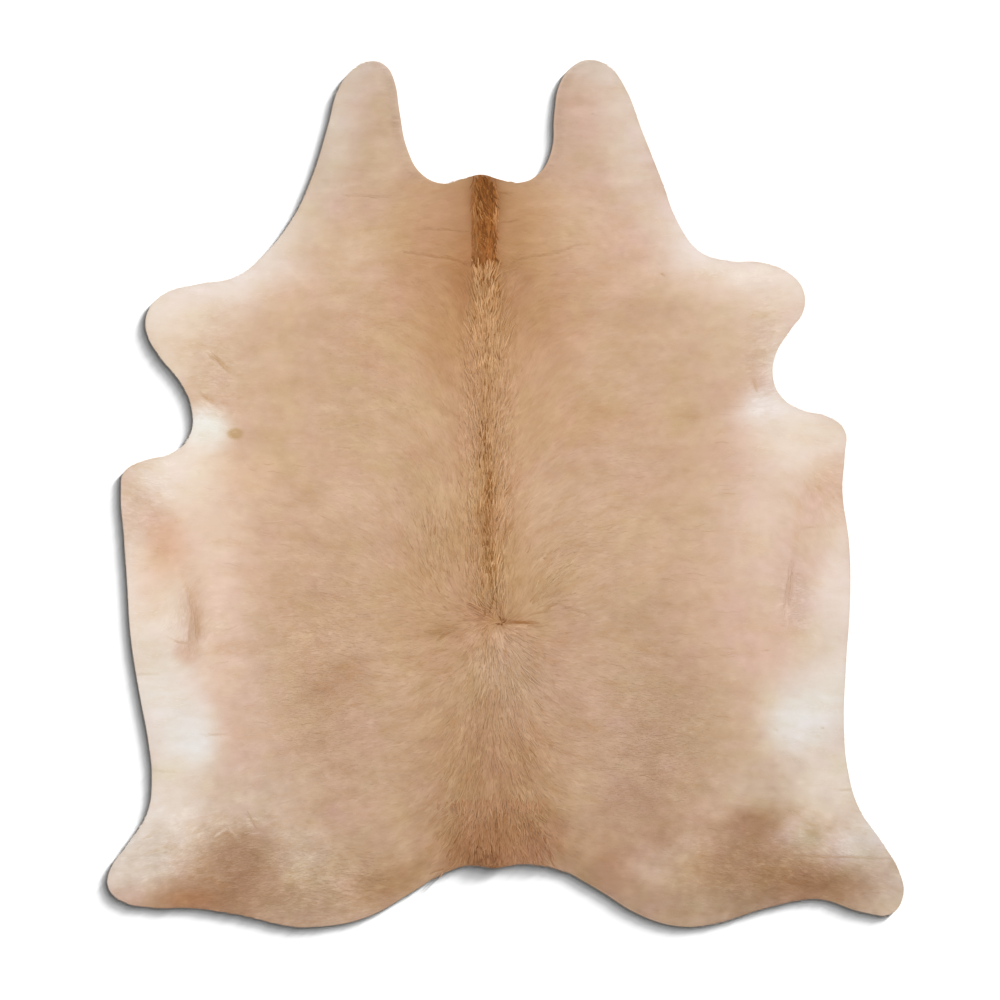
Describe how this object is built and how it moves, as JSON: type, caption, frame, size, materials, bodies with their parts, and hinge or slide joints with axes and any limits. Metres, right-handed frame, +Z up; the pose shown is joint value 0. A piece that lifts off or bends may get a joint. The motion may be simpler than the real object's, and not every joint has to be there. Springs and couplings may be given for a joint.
{
  "type": "cowhide",
  "caption": "Whole tan cowhide with its hair on, lying flat with the hair up, with neck lobes, forelegs, flanks, hind legs and a mane along the neck.",
  "frame": {"origin": "middle of the hide's box, on the flesh side that lies on the surface", "axes": "+Y towards the neck, +X to the right of the hide seen from above with the neck away from the viewer, +Z up out of the hair"},
  "size_m": [1.9296, 2.101, 0.0101],
  "materials": {
    "hair_on_hide": "tanned cowhide with its natural short hair, tan with a brown back line and cream edges"
  },
  "bodies": {
    "root": {"cowhide": "hair_on_hide"}
  },
  "joints": []
}
